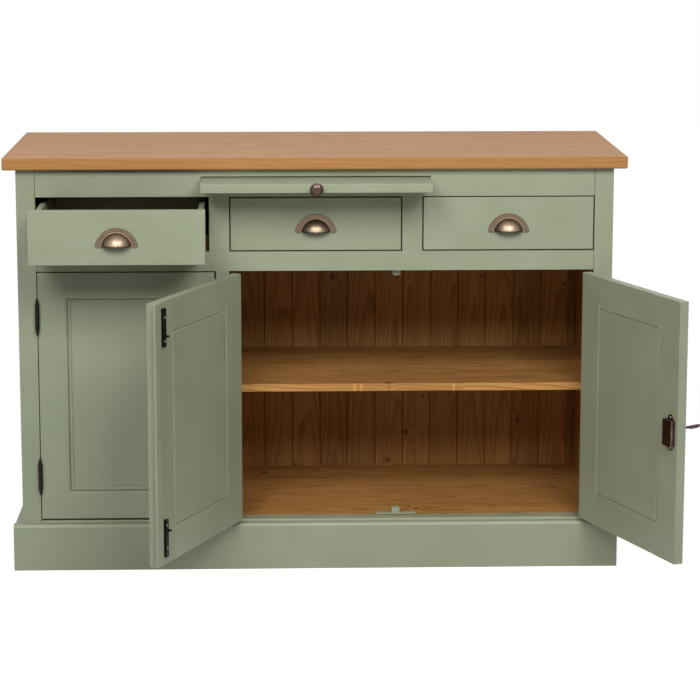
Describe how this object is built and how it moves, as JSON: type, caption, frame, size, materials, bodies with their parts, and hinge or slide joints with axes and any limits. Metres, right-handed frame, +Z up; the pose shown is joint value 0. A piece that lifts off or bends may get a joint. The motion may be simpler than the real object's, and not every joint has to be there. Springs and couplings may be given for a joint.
{
  "type": "credenza",
  "caption": "Painted farmhouse credenza with a pine top, cup-pull drawers, framed doors with bolts and locks, a pull-out board and a shelved cupboard.",
  "frame": {"origin": "on the floor under the middle of the carcass, on the underside of the middle floor bearer", "axes": "+X to the right seen from the front, +Y from the front to the back, +Z up"},
  "size_m": [1.518, 0.9185, 0.95],
  "materials": {
    "green_paint": "satin sage-green furniture paint",
    "pine_top": "oiled honey pine",
    "inside_pine": "waxed knotty pine",
    "antique_bronze": "antiqued, worn bright on the high places",
    "dark_bronze": "dark antiqued",
    "black_iron": "blackened"
  },
  "bodies": {
    "carcass": {"top_board": "pine_top", "side_panels": "green_paint", "bottom_board": "inside_pine", "dust_board": "inside_pine", "partition": "inside_pine", "back_boards": "inside_pine", "front_stiles": "green_paint", "middle_rail": "green_paint", "bottom_rail": "green_paint", "divider_stile": "green_paint", "drawer_mullions": "green_paint", "top_rail": "green_paint", "plinth_boards": "green_paint", "floor_bearers": "inside_pine", "shelves": "inside_pine", "shelf_battens": "inside_pine", "drawer_guides": "inside_pine", "board_runners": "inside_pine", "hinge_frame_leaves": "black_iron", "hinge_pins": "black_iron", "bolt_keepers": "green_paint"},
    "pull_out_board": {"pull_out_board": "green_paint", "board_knob": "dark_bronze"},
    "left_drawer": {"left_drawer_front": "green_paint", "left_drawer_box": "green_paint", "left_drawer_bottom": "inside_pine", "left_cup_pull": "antique_bronze"},
    "middle_drawer": {"middle_drawer_front": "green_paint", "middle_drawer_box": "green_paint", "middle_drawer_bottom": "inside_pine", "middle_cup_pull": "antique_bronze"},
    "right_drawer": {"right_drawer_front": "green_paint", "right_drawer_box": "green_paint", "right_drawer_bottom": "inside_pine", "right_cup_pull": "antique_bronze"},
    "left_door": {"left_door_stiles": "green_paint", "left_door_rails": "green_paint", "left_door_panel": "green_paint", "left_door_moulding": "green_paint", "left_door_hinge_leaves": "black_iron", "left_lock_case": "dark_bronze"},
    "middle_door": {"middle_door_stiles": "green_paint", "middle_door_rails": "green_paint", "middle_door_panel": "green_paint", "middle_door_moulding": "green_paint", "middle_door_hinge_leaves": "black_iron", "meeting_strip": "green_paint", "bolt_cases": "black_iron"},
    "right_door": {"right_door_stiles": "green_paint", "right_door_rails": "green_paint", "right_door_panel": "green_paint", "right_door_moulding": "green_paint", "right_door_hinge_leaves": "black_iron", "right_lock_case": "dark_bronze"},
    "upper_bolt": {"upper_bolt": "black_iron"},
    "lower_bolt": {"lower_bolt": "black_iron"},
    "left_lock_bolt": {"left_lock_bolt": "dark_bronze"},
    "left_key": {"left_key": "dark_bronze"},
    "right_lock_bolt": {"right_lock_bolt": "dark_bronze"},
    "right_key": {"right_key": "dark_bronze"}
  },
  "joints": [
    {"name": "left_drawer_slide", "type": "slide", "parent": "carcass", "child": "left_drawer", "axis": [0, -1, 0], "range_m": [-0.196, 0.104]},
    {"name": "middle_drawer_slide", "type": "slide", "parent": "carcass", "child": "middle_drawer", "axis": [0, -1, 0], "range_m": [0, 0.3]},
    {"name": "right_drawer_slide", "type": "slide", "parent": "carcass", "child": "right_drawer", "axis": [0, -1, 0], "range_m": [0, 0.3]},
    {"name": "board_slide", "type": "slide", "parent": "carcass", "child": "pull_out_board", "axis": [0, -1, 0], "range_m": [-0.118, 0.18]},
    {"name": "left_door_hinge", "type": "hinge", "parent": "carcass", "child": "left_door", "pos_m": [-0.629, -0.2555, 0.403], "axis": [0, 0, -1], "range_deg": [0, 112]},
    {"name": "middle_door_hinge", "type": "hinge", "parent": "carcass", "child": "middle_door", "pos_m": [-0.195, -0.2555, 0.403], "axis": [0, 0, -1], "range_deg": [-115, 15]},
    {"name": "right_door_hinge", "type": "hinge", "parent": "carcass", "child": "right_door", "pos_m": [0.629, -0.2555, 0.403], "axis": [0, 0, 1], "range_deg": [-112.5, 17.5]},
    {"name": "upper_bolt_slide", "type": "slide", "parent": "middle_door", "child": "upper_bolt", "axis": [0, 0, 1], "range_m": [0, 0.012]},
    {"name": "lower_bolt_slide", "type": "slide", "parent": "middle_door", "child": "lower_bolt", "axis": [0, 0, -1], "range_m": [0, 0.012]},
    {"name": "left_key_turn", "type": "hinge", "parent": "left_door", "child": "left_key", "pos_m": [-0.2485, -0.2475, 0.409], "axis": [0, -1, 0], "range_deg": [0, 180]},
    {"name": "left_lock_bolt_slide", "type": "slide", "parent": "left_door", "child": "left_lock_bolt", "axis": [1, 0, 0], "range_m": [0, 0.00801]},
    {"name": "right_key_turn", "type": "hinge", "parent": "right_door", "child": "right_key", "pos_m": [0.76875, -0.61379, 0.409], "axis": [-0.9239, -0.3827, 0], "range_deg": [0, 180]},
    {"name": "right_lock_bolt_slide", "type": "slide", "parent": "right_door", "child": "right_lock_bolt", "axis": [0.3827, -0.9239, 0], "range_m": [0, 0.00801]}
  ],
  "couplings": [
    {"joint": "left_lock_bolt_slide", "follows": "left_key_turn", "m_per_rad": 0.0025465},
    {"joint": "right_lock_bolt_slide", "follows": "right_key_turn", "m_per_rad": 0.0025465}
  ]
}
